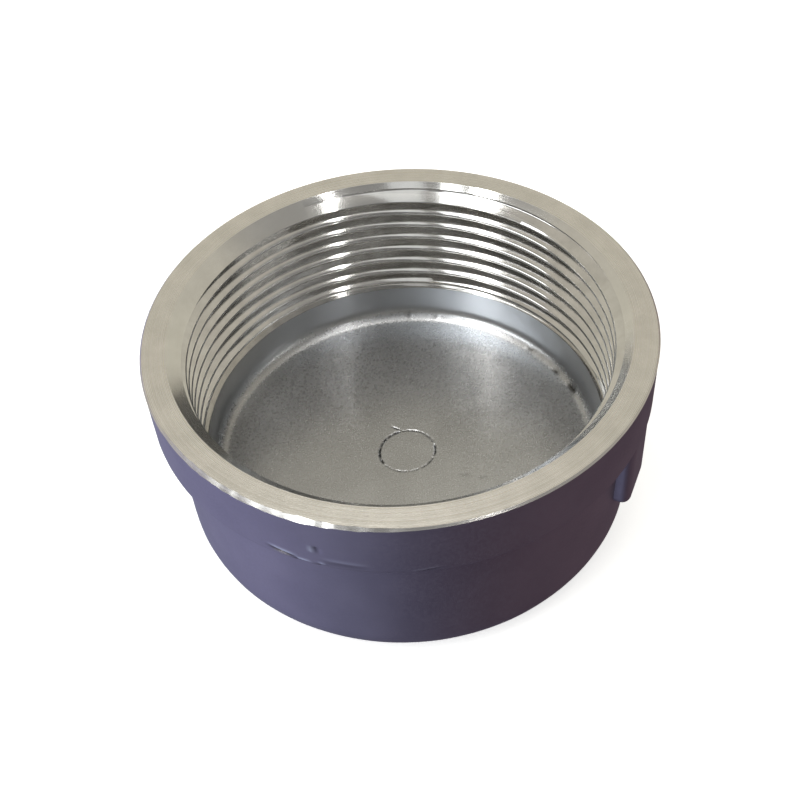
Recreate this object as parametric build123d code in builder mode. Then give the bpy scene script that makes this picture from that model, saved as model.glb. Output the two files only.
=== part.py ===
from build123d import *
from math import ceil, radians, tan
import os

# Female threaded pipe cap for a 2 inch pipe: one precision-cast stainless steel shell, closed at the
# bottom, with its rim faced and its mouth chamfered and threaded on a lathe.
# Millimetres. The origin is the centre of the closed end's outer face, and +Z points out of the mouth.

# ---- driving dimensions ----

# pipe thread, 55 degree form, right-handed and parallel
threads_per_inch = 11
thread_major_dia = 59.614
thread_flank_angle = 27.5
thread_depth_in_pitches = 0.640327
thread_flat_in_pitches = 1 / 6
crest_relief = 0.122  # how far the turned bore stays clear of the full form's crests

# turned mouth, rim and bore
mouth_over_thread = 0.75  # from the thread's root out to the top of the mouth's chamfer
mouth_chamfer_angle = 45
rim_edge_break = 0.3
bore_depth = 18.6
bore_past_thread = 0.2  # how far the bore goes on below the thread's last groove
groove_overrun = 0.25  # how far the cutter's form stands out of the bore's wall

# inside of the casting, below the bore
pocket_step = 0.35  # the cast pocket's wall stands in from the turned bore
pocket_height = 5.9  # from the bore's end to the floor's edge
pocket_draft = 2
pocket_corner_radius = 3
floor_thickness = 4.9  # at the middle of the floor
floor_dish = 1.1  # how far the middle of the floor is below its edge

# outside of the casting
wall_at_thread_root = 2.1  # from the thread's root to the outside, just under the band
band_standout = 2
band_height = 8.3
shoulder_slope = 40  # of the band's underside, from the horizontal
shoulder_fillet = 1.2
body_draft = 1
base_corner_radius = 4.8

# ring left on the floor by the ejector pin of the wax pattern's die
witness_dia = 8
witness_width = 0.35
witness_depth = 0.2

# pad on the side of the body, where the casting was cut from its runner
pad_azimuth = -25
pad_width = 8
pad_height = 12  # down from the band's lower edge
pad_corner_radius = 1.2
pad_standout = 1.6  # from the outside of the body, just under the band
pad_root_depth = 1.2  # how far the pad's root goes into the body's wall

# ---- sizes that follow ----

pitch = 25.4 / threads_per_inch
major_radius = thread_major_dia / 2
thread_depth = thread_depth_in_pitches * pitch - crest_relief
bore_radius = major_radius - thread_depth
flank_slope = tan(radians(thread_flank_angle))
groove_half_root = thread_flat_in_pitches * pitch / 2
groove_half_mouth = groove_half_root + thread_depth * flank_slope
groove_half_overrun = groove_half_mouth + groove_overrun * flank_slope

floor_edge_z = floor_thickness + floor_dish
bore_end_z = floor_edge_z + pocket_height
rim_z = bore_end_z + bore_depth
groove_end_z = bore_end_z + bore_past_thread + groove_half_mouth
groove_turns = ceil((rim_z + groove_half_mouth - groove_end_z) / pitch)
mouth_radius = major_radius + mouth_over_thread
chamfer_z = rim_z - (mouth_radius - bore_radius) / tan(radians(mouth_chamfer_angle))
pocket_radius = bore_radius - pocket_step
pocket_base_radius = pocket_radius - pocket_height * tan(radians(pocket_draft))

body_radius = major_radius + wall_at_thread_root
band_radius = body_radius + band_standout
band_z = rim_z - band_height
shoulder_z = band_z - band_standout * tan(radians(shoulder_slope))
base_radius = body_radius - shoulder_z * tan(radians(body_draft))

pad_outward = Vector(1, 0, 0).rotate(Axis.Z, pad_azimuth)
pad_root = pad_outward * (body_radius - pad_root_depth) + Vector(0, 0, band_z)


def edges_at(part, height):
    """The part's edges that lie in the horizontal plane at this height."""
    return part.edges().filter_by_position(Axis.Z, height - 0.01, height + 0.01)


with BuildPart() as cap_body:
    # outside of the casting
    with BuildSketch(Plane.XZ) as outside:
        with BuildLine():
            Polyline(
                (0, 0),
                (base_radius, 0),
                (body_radius, shoulder_z),
                (band_radius, band_z),
                (band_radius, rim_z),
                (0, rim_z),
                close=True,
            )
        make_face()
    revolve(axis=Axis.Z)
    fillet(edges_at(cap_body, 0), base_corner_radius)
    fillet(edges_at(cap_body, shoulder_z), shoulder_fillet)

    # pad where the runner was cut off, its upper end inside the band
    with BuildSketch(Plane(origin=pad_root, x_dir=(0, 0, -1), z_dir=pad_outward)) as pad:
        with Locations((pad_height / 2 - pad_corner_radius, 0)):
            RectangleRounded(pad_height + 2 * pad_corner_radius, pad_width, pad_corner_radius)
    extrude(amount=pad_root_depth + pad_standout)

    # rim, mouth chamfer, bore for the thread, and the cast pocket with its dished floor
    chamfer(edges_at(cap_body, rim_z), rim_edge_break)
    with BuildSketch(Plane.XZ) as inside:
        with BuildLine():
            Polyline(
                (0, rim_z),
                (mouth_radius, rim_z),
                (bore_radius, chamfer_z),
                (bore_radius, bore_end_z),
                (pocket_radius, bore_end_z),
                (pocket_base_radius, floor_edge_z),
            )
            TangentArc((0, floor_thickness), (pocket_base_radius, floor_edge_z), tangent=(1, 0))
            Line((0, floor_thickness), (0, rim_z))
        make_face()
    revolve(axis=Axis.Z, mode=Mode.SUBTRACT)
    fillet(edges_at(cap_body, floor_edge_z), pocket_corner_radius)

    # witness ring on the floor
    with BuildSketch(Plane.XZ) as witness_ring:
        with Locations((witness_dia / 2, floor_thickness)):
            Rectangle(witness_width, 2 * witness_depth)
    revolve(axis=Axis.Z, mode=Mode.SUBTRACT)

    # thread groove, cut one turn at a time from its lower end out through the mouth
    for turn in range(groove_turns):
        with BuildLine(Plane.XY.offset(groove_end_z + turn * pitch)) as one_turn:
            helix = Helix(pitch=pitch, height=pitch, radius=bore_radius)
        with BuildSketch(Plane(origin=helix @ 0, x_dir=(1, 0, 0), z_dir=helix % 0)) as groove:
            with BuildLine():
                Polyline(
                    (-groove_overrun, -groove_half_overrun),
                    (thread_depth, -groove_half_root),
                    (thread_depth, groove_half_root),
                    (-groove_overrun, groove_half_overrun),
                    close=True,
                )
            make_face()
        sweep(path=one_turn.line, is_frenet=True, mode=Mode.SUBTRACT)

cap_body.part.label = "cap_body"
os.makedirs("parts", exist_ok=True)
export_step(cap_body.part, "parts/cap_body.step")
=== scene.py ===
import math

import bmesh
import bpy
from mathutils import Matrix, Vector, noise


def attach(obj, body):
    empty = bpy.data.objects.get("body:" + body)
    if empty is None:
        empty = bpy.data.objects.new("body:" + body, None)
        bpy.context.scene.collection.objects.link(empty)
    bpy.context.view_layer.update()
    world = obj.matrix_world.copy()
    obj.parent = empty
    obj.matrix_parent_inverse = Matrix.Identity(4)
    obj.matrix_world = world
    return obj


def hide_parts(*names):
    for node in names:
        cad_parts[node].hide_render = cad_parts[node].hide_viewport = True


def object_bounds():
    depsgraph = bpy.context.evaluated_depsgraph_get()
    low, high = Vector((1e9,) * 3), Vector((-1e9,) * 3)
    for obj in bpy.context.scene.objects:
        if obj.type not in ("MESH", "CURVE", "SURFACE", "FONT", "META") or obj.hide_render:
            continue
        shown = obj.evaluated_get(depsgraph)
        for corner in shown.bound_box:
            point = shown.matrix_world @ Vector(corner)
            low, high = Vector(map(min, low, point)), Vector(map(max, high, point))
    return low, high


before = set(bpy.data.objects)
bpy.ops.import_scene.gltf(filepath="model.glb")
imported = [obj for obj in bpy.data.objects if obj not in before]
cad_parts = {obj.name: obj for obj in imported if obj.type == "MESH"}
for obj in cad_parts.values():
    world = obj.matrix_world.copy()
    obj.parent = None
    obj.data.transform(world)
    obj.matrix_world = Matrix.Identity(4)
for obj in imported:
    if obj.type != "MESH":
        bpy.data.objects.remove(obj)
cad_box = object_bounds()

# ---------------------------------------------------------------------------------------------------
# Camera. It looks down into the mouth from the front, a little under 50 degrees above the bench, and
# leans slightly to the left.
# ---------------------------------------------------------------------------------------------------

mm = 0.001

scene = bpy.context.scene
scene.view_settings.view_transform = "Standard"

camera_place = Vector((0, -116.83, 139.82)) * mm
camera_target = Vector((-0.50, 0.73, 15.0)) * mm
camera_lean = math.radians(-4.4455)

camera_data = bpy.data.cameras.new("camera")
camera_data.sensor_width = 36
camera_data.lens = 54.8
camera_data.clip_start = 1 * mm
camera = bpy.data.objects.new("camera", camera_data)
scene.collection.objects.link(camera)
look = (camera_target - camera_place).to_track_quat("-Z", "Y").to_matrix()
turn = look @ Matrix.Rotation(camera_lean, 3, "Z")
camera.matrix_world = Matrix.Translation(camera_place) @ turn.to_4x4()
scene.camera = camera

# ---------------------------------------------------------------------------------------------------
# Cast shell. The cap is one investment casting in stainless steel: a cup with a thick floor, a band
# round its mouth and a smooth, slightly uneven skin. Its inside is cast a little under size, so that
# the lathe has metal to take off.
# ---------------------------------------------------------------------------------------------------

rim_z = cad_box[1].z
band_radius = cad_box[1].x
band_standout = 2 * mm
band_height = 8.3 * mm
shoulder_drop = 1.68 * mm
body_draft = 0.36 * mm
body_radius = band_radius - band_standout
band_z = rim_z - band_height
shoulder_z = band_z - shoulder_drop
base_radius = body_radius - body_draft
pocket_radius = 28.1 * mm
pocket_base_radius = 27.93 * mm
floor_z = 4.9 * mm
floor_dish = 1.1 * mm
floor_edge_z = floor_z + floor_dish
base_round = 4.8 * mm
shoulder_round = 2.6 * mm
band_edge_round = 0.6 * mm
pocket_round = 2.0 * mm
rim_chamfer = 0.25 * mm
shell_steps = 360
row_spacing = 0.55 * mm
merge_distance = 0.004 * mm
tiny = 0.01 * mm


def node(tree, kind, inputs, **settings):
    """Adds a shader node. An input is given a value, or another node's output."""
    made = tree.nodes.new(kind)
    for name, value in settings.items():
        setattr(made, name, value)
    for name, value in inputs.items():
        if isinstance(value, bpy.types.NodeSocket):
            tree.links.new(value, made.inputs[name])
        else:
            made.inputs[name].default_value = value
    return made


def mixed(tree, share, first, second):
    """A colour between two others. Each is a value or another node's output."""
    made = tree.nodes.new("ShaderNodeMix")
    made.data_type = "RGBA"
    tree.links.new(share, made.inputs["Factor"])
    for slot, colour in (("A", first), ("B", second)):
        socket = next(i for i in made.inputs if i.identifier == slot + "_Color")
        if isinstance(colour, bpy.types.NodeSocket):
            tree.links.new(colour, socket)
        else:
            socket.default_value = (*colour, 1)
    return next(o for o in made.outputs if o.identifier == "Result_Color")


def metal(name):
    """A bare metal with nothing on it yet."""
    material = bpy.data.materials.new(name)
    material.use_nodes = True
    shader = material.node_tree.nodes["Principled BSDF"]
    shader.inputs["Metallic"].default_value = 1
    return material, material.node_tree, shader


def noise_pattern(tree, place, scale, detail, roughness):
    """Lumps whose size is about one over the scale, in metres."""
    return node(tree, "ShaderNodeTexNoise", {
        "Vector": place, "Scale": scale, "Detail": detail, "Roughness": roughness,
    })


# painted light: the bluish white that the pocket's wall and the outside marks' lips are lightened
# towards, with the dullness that comes with it; painted shade: the near black that the marks' grooves
# are darkened towards
painted_light_colour = (0.80, 0.86, 0.93)
painted_shade_colour = (0.03, 0.028, 0.026)
painted_light_dullness = 0.18


def cast_skin(name, light, dark, smoothest, roughest, grain_height):
    """The skin that the ceramic mould leaves: mottled, finely grained and stained.

    A value kept on the points paints light on it, lighter, bluer and duller, and another paints shade on
    it, black.
    """
    material, tree, shader = metal(name)
    place = node(tree, "ShaderNodeTexCoord", {}).outputs["Object"]
    mottle = noise_pattern(tree, place, scale=130, detail=3, roughness=0.5)
    grain = noise_pattern(tree, place, scale=2600, detail=4, roughness=0.6)
    stain = noise_pattern(tree, place, scale=42, detail=2, roughness=0.4)
    both = node(
        tree, "ShaderNodeMath", {0: mottle.outputs["Fac"], 1: stain.outputs["Fac"]}, operation="ADD",
    )
    tone = node(tree, "ShaderNodeMapRange", {"Value": both.outputs[0], "From Min": 0.7, "From Max": 1.3})
    # painted light and painted shade, taken from two values kept on the points
    painted_light = node(tree, "ShaderNodeAttribute", {}, attribute_name="painted_light").outputs["Fac"]
    clean = mixed(tree, painted_light, mixed(tree, tone.outputs[0], dark, light), painted_light_colour)
    painted_shade = node(tree, "ShaderNodeAttribute", {}, attribute_name="painted_shade").outputs["Fac"]
    tree.links.new(mixed(tree, painted_shade, clean, painted_shade_colour), shader.inputs["Base Color"])
    rough = node(tree, "ShaderNodeMapRange", {
        "Value": grain.outputs["Fac"], "From Min": 0.3, "From Max": 0.7,
        "To Min": smoothest, "To Max": roughest,
    })
    dulled = node(
        tree, "ShaderNodeMath", {0: painted_light, 1: painted_light_dullness, 2: rough.outputs[0]},
        operation="MULTIPLY_ADD",
    )
    tree.links.new(dulled.outputs[0], shader.inputs["Roughness"])
    fine = node(tree, "ShaderNodeBump", {
        "Height": grain.outputs["Fac"], "Strength": 0.5, "Distance": grain_height,
    })
    coarse = node(tree, "ShaderNodeBump", {
        "Height": mottle.outputs["Fac"], "Strength": 0.5, "Distance": 6 * grain_height,
        "Normal": fine.outputs[0],
    })
    tree.links.new(coarse.outputs[0], shader.inputs["Normal"])
    return material


def turned_metal(name, light, dark, smoothest, roughest, feed, mark_height, spread):
    """Bright metal with the tool's fine marks, which run round the axis a feed apart.

    The spread is how far the marks draw a highlight out across them.
    """
    material, tree, shader = metal(name)
    place = node(tree, "ShaderNodeTexCoord", {}).outputs["Object"]
    flat = node(tree, "ShaderNodeVectorMath", {0: place, 1: (1, 1, 0)}, operation="MULTIPLY")
    radius = node(tree, "ShaderNodeVectorMath", {0: flat.outputs[0]}, operation="LENGTH")
    height = node(tree, "ShaderNodeSeparateXYZ", {"Vector": place})
    across = node(tree, "ShaderNodeCombineXYZ", {
        "X": radius.outputs["Value"], "Y": height.outputs["Z"],
    })
    marks = noise_pattern(tree, across.outputs[0], scale=1 / feed, detail=3, roughness=0.7)
    smear = noise_pattern(tree, place, scale=260, detail=3, roughness=0.6)
    tone = node(tree, "ShaderNodeMapRange", {
        "Value": smear.outputs["Fac"], "From Min": 0.35, "From Max": 0.65,
    })
    tree.links.new(mixed(tree, tone.outputs[0], dark, light), shader.inputs["Base Color"])
    rough = node(tree, "ShaderNodeMapRange", {
        "Value": marks.outputs["Fac"], "From Min": 0.3, "From Max": 0.7,
        "To Min": smoothest, "To Max": roughest,
    })
    tree.links.new(rough.outputs[0], shader.inputs["Roughness"])
    bump = node(tree, "ShaderNodeBump", {
        "Height": marks.outputs["Fac"], "Strength": 0.6, "Distance": mark_height,
    })
    tree.links.new(bump.outputs[0], shader.inputs["Normal"])
    shader.inputs["Anisotropic"].default_value = spread
    shader.inputs["Anisotropic Rotation"].default_value = 0.25
    round_axis = node(tree, "ShaderNodeTangent", {}, direction_type="RADIAL", axis="Z")
    tree.links.new(round_axis.outputs[0], shader.inputs["Tangent"])
    return material


# finishes of the shell, in the order of the cap's material slots
CAST_OUTSIDE, CAST_INSIDE, TURNED_RIM = range(3)
shell_finishes = [
    cast_skin(
        "cast_outside", light=(0.42, 0.40, 0.455), dark=(0.34, 0.325, 0.38),
        smoothest=0.36, roughest=0.50, grain_height=0.006 * mm,
    ),
    cast_skin(
        "cast_inside", light=(0.48, 0.482, 0.485), dark=(0.385, 0.385, 0.385),
        smoothest=0.25, roughest=0.31, grain_height=0.0005 * mm,
    ),
    turned_metal(
        "turned_rim", light=(0.75, 0.725, 0.69), dark=(0.67, 0.65, 0.615),
        smoothest=0.22, roughest=0.32, feed=0.22 * mm, mark_height=0.003 * mm, spread=0.15,
    ),
]


def wire(bm, points):
    """Joins the points, given as radius and height, by a chain of edges in the plane y = 0."""
    verts = [bm.verts.new((radius, 0, z)) for radius, z in points]
    for low, high in zip(verts, verts[1:]):
        bm.edges.new((low, high))
    return verts


def round_corner(bm, vert, radius, segments):
    """Rounds one corner of a wire to the radius."""
    low, high = [(edge.other_vert(vert).co - vert.co) for edge in vert.link_edges]
    run = radius / math.tan(low.angle(high) / 2)
    bmesh.ops.bevel(
        bm, geom=[vert], offset=run, offset_type="OFFSET", segments=segments, profile=0.5,
        affect="VERTICES", material=-1,
    )


def divide(bm, longest):
    """Divides the wire's edges until none is longer than this, but for the plain face underneath."""
    for edge in list(bm.edges):
        cuts = math.ceil(edge.calc_length() / longest) - 1
        underneath = max(vert.co.z for vert in edge.verts) < tiny
        if cuts > 0 and not underneath:
            bmesh.ops.subdivide_edges(bm, edges=[edge], cuts=cuts)


def spun(bm, steps, rise=0):
    """Spins the wire a full turn about +Z, counter-clockwise, rising by this much in each turn."""
    bmesh.ops.spin(
        bm, geom=bm.verts[:] + bm.edges[:], cent=(0, 0, 0), axis=(0, 0, 1), angle=math.tau,
        dvec=(0, 0, rise / steps), steps=steps, use_merge=(rise == 0),
    )
    bmesh.ops.remove_doubles(bm, verts=bm.verts, dist=merge_distance)


def bumps(place, size, seed):
    """A smooth random value from -1 to 1, whose lumps are about this size."""
    return noise.noise(place / size + Vector((seed, seed, seed)))


def smooth_step(value, low, high):
    """Rises smoothly from 0 at the low value to 1 at the high one."""
    t = min(max((value - low) / (high - low), 0), 1)
    return t * t * (3 - 2 * t)


shell = bmesh.new()
corners = wire(shell, [
    (0, 0),
    (base_radius, 0),
    (body_radius, shoulder_z),
    (band_radius, band_z),
    (band_radius, rim_z),
    (pocket_radius, rim_z),
    (pocket_base_radius, floor_edge_z),
    (0, floor_z),
])
base, shoulder, band_edge, rim_edge, pocket_edge = (corners[i] for i in (1, 2, 3, 4, 6))
round_corner(shell, base, base_round, segments=14)
round_corner(shell, shoulder, shoulder_round, segments=6)
round_corner(shell, band_edge, band_edge_round, segments=4)
round_corner(shell, rim_edge, rim_chamfer, segments=1)
round_corner(shell, pocket_edge, pocket_round, segments=10)
divide(shell, row_spacing)

# closer rows of points near the band's lower edge, where the casting is scarred
scarred_low_z = 20.4 * mm
scarred_high_z = 26.6 * mm
for edge in list(shell.edges):
    heights = [vert.co.z for vert in edge.verts]
    outside = min(vert.co.x for vert in edge.verts) > pocket_radius + 1 * mm
    if outside and min(heights) > scarred_low_z and max(heights) < scarred_high_z:
        bmesh.ops.subdivide_edges(shell, edges=[edge], cuts=2)

# close rows of points on the floor, where the ejector pin pressed its witness ring in
ring_radius = 4.0 * mm
ring_room_inside = 0.5 * mm
ring_room_outside = 1.2 * mm
for edge in list(shell.edges):
    low, high = sorted((edge.verts[0].co.x, edge.verts[1].co.x))
    on_floor = floor_z - 0.9 * mm < edge.verts[0].co.z < floor_edge_z
    if on_floor and low < ring_radius + ring_room_outside and high > ring_radius - ring_room_inside:
        bmesh.ops.subdivide_edges(shell, edges=[edge], cuts=5)

# the floor is dished between its edge and its middle
for vert in shell.verts:
    share = vert.co.x / pocket_base_radius
    if floor_z - 0.1 * mm < vert.co.z < rim_z - 1 * mm and share < 1:
        vert.co.z -= floor_dish * share * (1 - share)
spun(shell, shell_steps)
bmesh.ops.recalc_face_normals(shell, faces=shell.faces)

# the tool took more off the rim's outer edge on the side where the casting stood proud
worn_share_inwards = 0.6
most_worn = 0.4 * mm
for vert in shell.verts:
    radius = math.hypot(vert.co.x, vert.co.y)
    azimuth = math.degrees(math.atan2(vert.co.y, vert.co.x))
    proud = smooth_step(azimuth, -160, -135) * smooth_step(-azimuth, 84, 112)
    ragged = 0.32 + 0.25 * bumps(vert.co, 2.0 * mm, 4) + 0.2 * bumps(vert.co, 0.7 * mm, 9)
    extra = proud * max(ragged, 0) * mm
    at_chamfer_foot = abs(vert.co.z - (rim_z - rim_chamfer)) < 2 * tiny
    at_chamfer_top = abs(radius - (band_radius - rim_chamfer)) < 2 * tiny
    if at_chamfer_foot and radius > band_radius - 2 * tiny:
        vert.co.z -= min(extra, most_worn)
    elif at_chamfer_top and vert.co.z > rim_z - tiny:
        vert.co.x *= 1 - worn_share_inwards * extra / radius
        vert.co.y *= 1 - worn_share_inwards * extra / radius

turned_rim_depth = 0.34 * mm
for face in shell.faces:
    middle = face.calc_center_median()
    radius = math.hypot(middle.x, middle.y)
    if middle.z > rim_z - turned_rim_depth and face.normal.z > 0.3:
        face.material_index = TURNED_RIM
    elif radius < pocket_radius + tiny and middle.z > floor_z - 0.5 * mm:
        face.material_index = CAST_INSIDE
    else:
        face.material_index = CAST_OUTSIDE
    face.smooth = True

# arcs of the witness ring: the azimuths of its ends in degrees, and its depth in millimetres
witness_arcs = [(100, 213, 0.20), (16, 100, 0.07), (-21, 16, 0.18), (-65, -21, 0.10), (-147, -65, 0.05)]
# marks on the outside: azimuth in degrees, height, length, width and depth, and tilt in degrees
scars = [
    (-117.6, 22.9, 3.0, 0.30, 0.36, -8),
    (-113.2, 22.3, 2.0, 0.26, 0.30, -5),
    (-110.2, 25.2, 1.3, 0.26, 0.20, 80),
    (-109.2, 22.3, 0.8, 0.30, 0.26, -20),
    (-87.7, 22.4, 3.2, 0.18, 0.12, 9),
    (-104.0, 22.9, 5.0, 0.40, 0.08, -3),
    (35.0, 23.5, 2.2, 0.25, 0.14, -15),
    (120.0, 21.6, 1.4, 0.30, 0.14, 40),
    (160.0, 24.0, 2.4, 0.22, 0.16, 8),
]
# marks inside: x, y, length, width and depth in millimetres, and the direction of the length
nicks = [
    (1.9, 27.2, 0.8, 0.30, 0.10, 110),
    (6.1, 26.5, 0.5, 0.30, 0.10, 0),
    (10.7, 25.0, 0.6, 0.25, 0.06, 30),
    (20.1, 17.8, 1.0, 0.22, 0.12, 140),
    (23.4, 12.7, 1.4, 0.26, 0.16, 125),
    (25.3, 8.9, 2.2, 0.30, 0.20, 112),
    (12.4, 7.1, 0.3, 0.20, 0.20, 0),
    (-1.37, 4.48, 1.6, 0.14, 0.07, 147),
    (8.1, -5.4, 1.4, 0.30, 0.05, 10),
    (10.5, -6.1, 1.2, 0.25, 0.05, 5),
    (-8.4, 24.3, 0.6, 0.25, 0.06, 20),
]


def witness_depth(radius, azimuth):
    """How deep the witness ring is here. It is slightly out of round, and it fades at its arcs' ends."""
    turn = math.radians(azimuth)
    out_of_round = 0.12 * mm * math.sin(2 * turn + math.radians(40))
    half_width = 0.13 * mm
    deepest = 0
    for start, end, depth in witness_arcs:
        past = (azimuth - start) % 360
        span = end - start
        if past < span:
            ends = smooth_step(past, 0, 6) * smooth_step(span - past, 0, 6)
            ragged = 0.7 + 0.3 * math.sin(17 * turn) * math.sin(7 * turn)
            deepest = max(deepest, depth * mm * ends * ragged)
    return deepest * math.exp(-(((radius - ring_radius - out_of_round) / half_width) ** 2))


def mark(along, up, length, width, deepest, tilt, lip_share):
    """The depth of one mark at this place: a groove with a lip on its upper side.

    Along and up are the place from the mark's middle, in millimetres as its sizes are. The depth that
    comes back is in metres.
    """
    if max(abs(along), abs(up)) > 2 * length + 1:
        return 0
    turned = math.radians(tilt)
    u = along * math.cos(turned) + up * math.sin(turned)
    v = up * math.cos(turned) - along * math.sin(turned)
    taper = math.exp(-((u / (length / 2)) ** 4))
    pit = math.exp(-((v / width) ** 2))
    lip = math.exp(-(((v - 1.6 * width) / (0.8 * width)) ** 2))
    return deepest * mm * taper * (pit - lip_share * lip)


def scar_depth(azimuth, z):
    """How far the marks on the outside go in here. A negative depth is a lip that stands proud."""
    depth = 0
    for scar_azimuth, scar_z, length, width, deepest, tilt in scars:
        along = math.radians((azimuth - scar_azimuth + 180) % 360 - 180) * band_radius
        depth += mark(along / mm, z / mm - scar_z, length, width, deepest, tilt, lip_share=0.6)
    return depth


def nick_depth(x, y):
    """How far the marks inside go in here."""
    return sum(
        mark(x / mm - nick_x, y / mm - nick_y, length, width, deepest, direction, lip_share=0.2)
        for nick_x, nick_y, length, width, deepest, direction in nicks
    )


# The skin of the casting is a little uneven, more so inside. The marks' grooves get painted shade,
# darker the deeper they are, the outside marks' lips get a painted highlight, and the pocket's wall gets
# painted light, strongest at its back on the right.
painted_shade = shell.verts.layers.float.new("painted_shade")
painted_light = shell.verts.layers.float.new("painted_light")
untouched_depth = 0.35 * mm
for vert in shell.verts:
    x, y, z = vert.co
    radius = math.hypot(x, y)
    azimuth = math.degrees(math.atan2(y, x))
    outward = Vector((x, y, 0)).normalized() if radius > 0.1 * mm else Vector((0, 0, 0))
    if z > rim_z - untouched_depth:
        continue
    if radius < pocket_base_radius + 0.25 * mm and z > floor_z - 0.6 * mm:
        wall = smooth_step(radius, pocket_base_radius - 3 * mm, pocket_base_radius)
        lumps = 0.09 * bumps(vert.co, 9 * mm, 3) + 0.04 * bumps(vert.co, 3 * mm, 8)
        vert.co -= outward * lumps * mm * wall
        vert.co.z += 0.03 * bumps(vert.co, 9 * mm, 5) * mm * (1 - wall)
        low_down = smooth_step(-z, -floor_edge_z - 2.2 * mm, -floor_edge_z - 1.2 * mm)
        pressed = witness_depth(radius, azimuth) + nick_depth(x, y) * low_down
        vert.co -= (Vector((0, 0, 1)) * (1 - wall) - outward * wall) * pressed
        # painted light on the pocket's wall above the floor, strongest between 40 and 72 degrees of
        # azimuth, at the back on the right
        lit_side = smooth_step(azimuth, 0, 40) * smooth_step(-azimuth, -100, -72)
        on_wall = smooth_step(z, floor_edge_z + 0.4 * mm, floor_edge_z + 2.4 * mm)
        uneven = 0.85 + 0.15 * bumps(vert.co, 4 * mm, 7)
        vert[painted_light] = (0.3 + 0.35 * lit_side) * on_wall * uneven
        # painted shade in the witness ring and the nicks, darker the deeper they are
        vert[painted_shade] = min(max(pressed, 0) / (0.16 * mm), 1)
    elif z > tiny:
        sunk = 0.05 + 0.05 * bumps(vert.co, 11 * mm, 1) + 0.02 * bumps(vert.co, 3.5 * mm, 6)
        sunk *= smooth_step(z, 0, 3 * mm)
        scarred = scar_depth(azimuth, z)
        vert.co -= outward * max(sunk * mm + scarred, radius - band_radius)
        # painted shade in the marks' grooves, darker the deeper they are, and a painted highlight on
        # their proud lips
        vert[painted_shade] = 0.8 * min(max(scarred, 0) / (0.25 * mm), 1)
        vert[painted_light] = 0.8 * min(max(-scarred, 0) / (0.12 * mm), 1)

# ---------------------------------------------------------------------------------------------------
# Runner pad. The stub left where the casting was sawn off its runner, ground nearly flush just under
# the band, on the right-hand side.
# ---------------------------------------------------------------------------------------------------

pad_azimuth = math.radians(-25)
pad_width = 8 * mm
pad_height = 12 * mm
pad_inner = body_radius - 1.2 * mm
pad_outer = body_radius + 1.6 * mm
pad_in_band = 2 * mm
pad_corner_round = 1.6 * mm
pad_face_round = 1.2 * mm

pad = bmesh.new()
bmesh.ops.create_cube(pad, size=1)
pad_size = Vector((pad_outer - pad_inner, pad_width, pad_height + pad_in_band))
bmesh.ops.scale(pad, vec=pad_size, verts=pad.verts)
along_x = [e for e in pad.edges if abs((e.verts[0].co - e.verts[1].co).normalized().x) > 0.9]
bmesh.ops.bevel(
    pad, geom=along_x, offset=pad_corner_round, segments=6, profile=0.5, affect="EDGES", material=-1,
)
face_edges = [e for e in pad.edges if min(e.verts[0].co.x, e.verts[1].co.x) > pad_size.x * 0.49]
bmesh.ops.bevel(
    pad, geom=face_edges, offset=pad_face_round, segments=6, profile=0.5, affect="EDGES", material=-1,
)
pad_middle = Vector(((pad_inner + pad_outer) / 2, 0, band_z - (pad_height - pad_in_band) / 2))
bmesh.ops.translate(pad, vec=pad_middle, verts=pad.verts)
bmesh.ops.rotate(pad, cent=(0, 0, 0), matrix=Matrix.Rotation(pad_azimuth, 3, "Z"), verts=pad.verts)

# ---------------------------------------------------------------------------------------------------
# Bore and thread. On the lathe the inside is bored to the thread's crests, and the 2 inch pipe thread
# is cut into it, with the rounded crests and roots of the 55 degree form. Its last turn runs out
# above the bore's end.
# ---------------------------------------------------------------------------------------------------

inch = 25.4 * mm
pitch = inch / 11
thread_major_radius = 29.807 * mm
bore_radius = 28.45 * mm
bore_end_z = rim_z - 18.6 * mm
groove_end_z = rim_z - 17.5 * mm
half_angle = math.radians(27.5)
sharp_depth = pitch / 2 / math.tan(half_angle)
root_round_in_pitches = 0.137329
root_round = root_round_in_pitches * pitch
sharp_root_radius = thread_major_radius + root_round / math.sin(half_angle) - root_round
sharp_crest_radius = sharp_root_radius - sharp_depth
crest_round = (bore_radius - sharp_crest_radius) / (1 / math.sin(half_angle) - 1)
turns_below = 2
turns_above = 2
thread_steps = 264
run_out_start = 0.3 * mm
run_out_end = 1.6 * mm

# the thread's place among the cap's material slots
THREAD = 3
thread_finish = turned_metal(
    "turned_thread", light=(0.74, 0.73, 0.71), dark=(0.64, 0.63, 0.61),
    smoothest=0.08, roughest=0.15, feed=0.12 * mm, mark_height=0.002 * mm, spread=0.3,
)

core = bmesh.new()
turns = math.ceil((rim_z - groove_end_z) / pitch) + turns_below + turns_above
zigzag = []
for turn_number in range(-turns_below, turns - turns_below):
    groove_z = groove_end_z + turn_number * pitch
    zigzag.append((sharp_crest_radius, groove_z - pitch / 2))
    zigzag.append((sharp_root_radius, groove_z))
teeth = wire(core, zigzag)
for vert in teeth[1:-1]:
    at_root = vert.co.x > bore_radius
    round_corner(core, vert, root_round if at_root else crest_round, segments=5 if at_root else 6)
spun(core, thread_steps, rise=pitch)

# the groove grows shallower towards the bore's end
for vert in core.verts:
    radius = math.hypot(vert.co.x, vert.co.y)
    depth = smooth_step(vert.co.z, bore_end_z + run_out_start, bore_end_z + run_out_end)
    if radius > bore_radius:
        wanted = bore_radius + (radius - bore_radius) * depth
        vert.co.x *= wanted / radius
        vert.co.y *= wanted / radius

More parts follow.
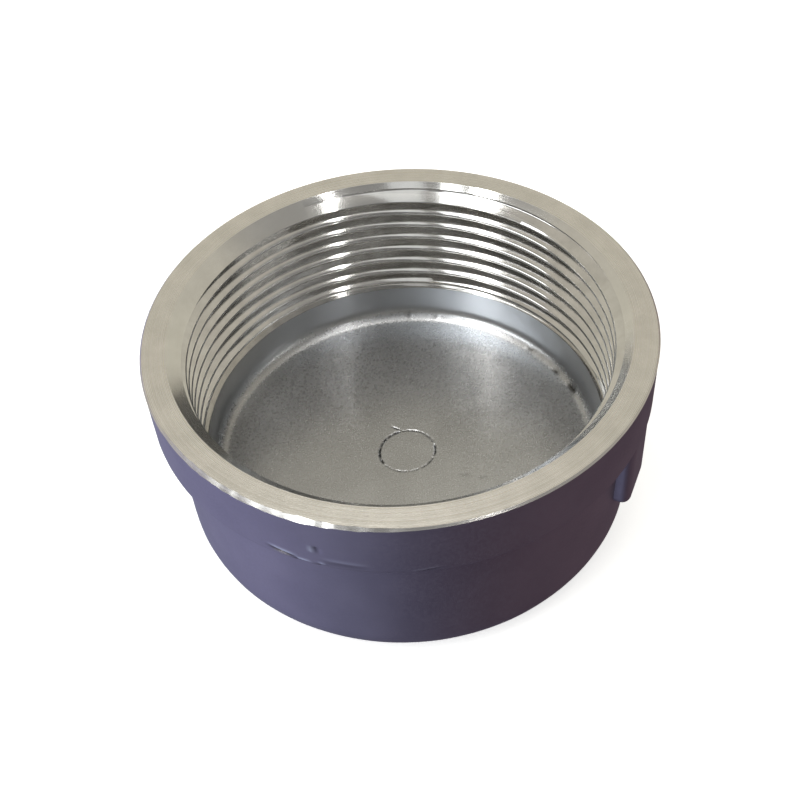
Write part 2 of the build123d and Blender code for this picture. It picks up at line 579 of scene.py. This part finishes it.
core_top = rim_z + 0.5 * mm
for height, upward in ((bore_end_z, -1), (core_top, 1)):
    bmesh.ops.bisect_plane(
        core, geom=core.verts[:] + core.edges[:] + core.faces[:], plane_co=(0, 0, height),
        plane_no=(0, 0, upward), clear_outer=True, dist=0.001 * mm,
    )
open_edges = [edge for edge in core.edges if edge.is_boundary]
bmesh.ops.holes_fill(core, edges=open_edges, sides=0)
bmesh.ops.recalc_face_normals(core, faces=core.faces)
for face in core.faces:
    face.material_index = THREAD
    face.smooth = len(face.verts) < 5

# ---------------------------------------------------------------------------------------------------
# Mouth chamfer. A 45 degree cone turned into the top of the bore, which leads the pipe into the
# thread.
# ---------------------------------------------------------------------------------------------------

mouth_radius = 30.557 * mm
past_cut = 1 * mm
cone_depth = mouth_radius - bore_radius + past_cut

# the chamfer's place among the cap's material slots
MOUTH = 4
mouth_finish = turned_metal(
    "turned_mouth", light=(0.8, 0.79, 0.76), dark=(0.74, 0.73, 0.7),
    smoothest=0.1, roughest=0.18, feed=0.16 * mm, mark_height=0.003 * mm, spread=0.5,
)

mouth = bmesh.new()
bmesh.ops.create_cone(
    mouth, cap_ends=True, cap_tris=False, segments=shell_steps,
    radius1=mouth_radius - cone_depth, radius2=mouth_radius + past_cut, depth=cone_depth + past_cut,
)
bmesh.ops.translate(mouth, vec=(0, 0, rim_z + (past_cut - cone_depth) / 2), verts=mouth.verts)
for face in mouth.faces:
    face.material_index = MOUTH
    face.smooth = len(face.verts) < 5

# ---------------------------------------------------------------------------------------------------
# The finished cap. The stub belongs to the casting, and the thread and the chamfer are cut out of it.
# That leaves one piece of metal with five finishes.
# ---------------------------------------------------------------------------------------------------


def as_object(bm, name, finishes):
    """Makes a bmesh an object with these materials."""
    mesh = bpy.data.meshes.new(name)
    bm.to_mesh(mesh)
    bm.free()
    for finish in finishes:
        mesh.materials.append(finish)
    made = bpy.data.objects.new(name, mesh)
    scene.collection.objects.link(made)
    return made


finishes = [*shell_finishes, thread_finish, mouth_finish]
cap = as_object(shell, "cap", finishes)
for cutter, operation in (
    (as_object(pad, "pad", finishes), "UNION"),
    (as_object(core, "core", finishes), "DIFFERENCE"),
    (as_object(mouth, "mouth", finishes), "DIFFERENCE"),
):
    cut = cap.modifiers.new(cutter.name, "BOOLEAN")
    cut.object = cutter
    cut.operation = operation
    cut.solver = "MANIFOLD"
    cutter.hide_render = True
after_cuts = cap.evaluated_get(bpy.context.evaluated_depsgraph_get())
finished = bpy.data.meshes.new_from_object(after_cuts)
cap.modifiers.clear()
cap.data = finished
for name in ("pad", "core", "mouth"):
    bpy.data.objects.remove(bpy.data.objects[name])
sharp_angle = math.radians(32)
finished.set_sharp_from_angle(angle=sharp_angle)

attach(cap, "root")
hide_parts("cap_body")

# ---------------------------------------------------------------------------------------------------
# Floor and lights. The cap stands on a plain pale bench, under long panels in the ceiling and beside
# a window low on the left. None of this is part of the cap.
# ---------------------------------------------------------------------------------------------------

bench_half_size = 3
bench_glow = 0.62
bench_top = bmesh.new()
bmesh.ops.create_grid(bench_top, x_segments=1, y_segments=1, size=bench_half_size)
bench_paint = bpy.data.materials.new("bench")
bench_paint.use_nodes = True
paint = bench_paint.node_tree.nodes["Principled BSDF"]
paint.inputs["Base Color"].default_value = (0.8, 0.8, 0.79, 1)
paint.inputs["Emission Color"].default_value = (1, 1, 0.99, 1)
paint.inputs["Emission Strength"].default_value = bench_glow
bench = as_object(bench_top, "bench", [bench_paint])
bench.visible_glossy = False
bench.visible_diffuse = False

world = bpy.data.worlds.new("studio")
scene.world = world
world.use_nodes = True
room = world.node_tree
toward = node(room, "ShaderNodeSeparateXYZ", {
    "Vector": node(room, "ShaderNodeTexCoord", {}).outputs["Generated"],
})


def ramp(value, stops):
    """A colour ramp from -1 to 1 along the value. The first two stops are its ends."""
    share = node(room, "ShaderNodeMapRange", {"Value": value, "From Min": -1, "From Max": 1})
    made = node(room, "ShaderNodeValToRGB", {"Fac": share.outputs[0]})
    made.color_ramp.interpolation = "EASE"
    for number, (at, colour) in enumerate(stops):
        if number < 2:
            stop = made.color_ramp.elements[number]
            stop.position = (at + 1) / 2
        else:
            stop = made.color_ramp.elements.new((at + 1) / 2)
        stop.color = (*colour, 1)
    return made.outputs["Color"]


below = ramp(toward.outputs["X"], [
    (-0.75, (0.42, 0.42, 0.66)),
    (0.75, (0.15, 0.10, 0.12)),
    (-0.35, (0.27, 0.28, 0.40)),
    (0, (0.11, 0.10, 0.145)),
    (0.35, (0.10, 0.068, 0.088)),
])
above = ramp(toward.outputs["Y"], [
    (-0.8, (0.22, 0.22, 0.22)),
    (0.8, (0.62, 0.59, 0.50)),
    (-0.3, (0.36, 0.35, 0.33)),
    (0.2, (0.56, 0.53, 0.46)),
])
horizon = node(room, "ShaderNodeMapRange", {
    "Value": toward.outputs["Z"], "From Min": -0.25, "From Max": 0.1,
}, interpolation_type="SMOOTHSTEP")
surroundings = mixed(room, horizon.outputs[0], below, above)
backdrop_colour = (0.98, 0.98, 0.97)
camera_sees = node(room, "ShaderNodeLightPath", {}).outputs["Is Camera Ray"]
seen_or_lit = mixed(room, camera_sees, surroundings, backdrop_colour)
room.links.new(seen_or_lit, room.nodes["Background"].inputs["Color"])


def area_light(name, length, width, radiance, tint, placed):
    """A flat rectangular light of this radiance, which shines along its own -Z."""
    data = bpy.data.lights.new(name, "AREA")
    data.shape = "RECTANGLE"
    data.size = length
    data.size_y = width
    data.energy = radiance * math.pi * length * width
    data.color = tint
    light = bpy.data.objects.new(name, data)
    scene.collection.objects.link(light)
    light.matrix_world = placed


ceiling = 0.5


def ceiling_panel(name, start, end, width, radiance, tint=(1, 1, 1)):
    """A long light in the ceiling that shines down. Its ends are given by x and y in metres."""
    start = Vector((*start, ceiling))
    end = Vector((*end, ceiling))
    along = (end - start).normalized()
    side = Vector((0, 0, 1)).cross(along).normalized()
    aim = Matrix((along, side, along.cross(side))).transposed()
    placed = Matrix.Translation((start + end) / 2) @ aim.to_4x4()
    area_light(name, (end - start).length, width, radiance, tint, placed)


daylight = (0.95, 0.98, 1)
ceiling_panel("tube_right", (0.028, 0.179), (0.448, -0.879), width=0.016, radiance=14)
ceiling_panel("panel_left", (-0.027, 0.159), (-0.705, -0.678), width=0.075, radiance=9)
ceiling_panel("panel_middle", (-0.040, 0.150), (-0.440, -0.794), width=0.07, radiance=2.5, tint=daylight)
ceiling_panel("panel_front", (0.02, -0.02), (-0.20, -0.80), width=0.12, radiance=0.5, tint=daylight)

# a window, low on the left in front of the bench
window_away = Vector((-0.77, -0.45, 0.46)).normalized()
window_distance = 0.6
window_aim = window_away.to_track_quat("Z", "Y").to_matrix().to_4x4()
area_light(
    "window", length=0.50, width=0.20, radiance=4, tint=(0.93, 0.97, 1),
    placed=Matrix.Translation(window_away * window_distance) @ window_aim,
)
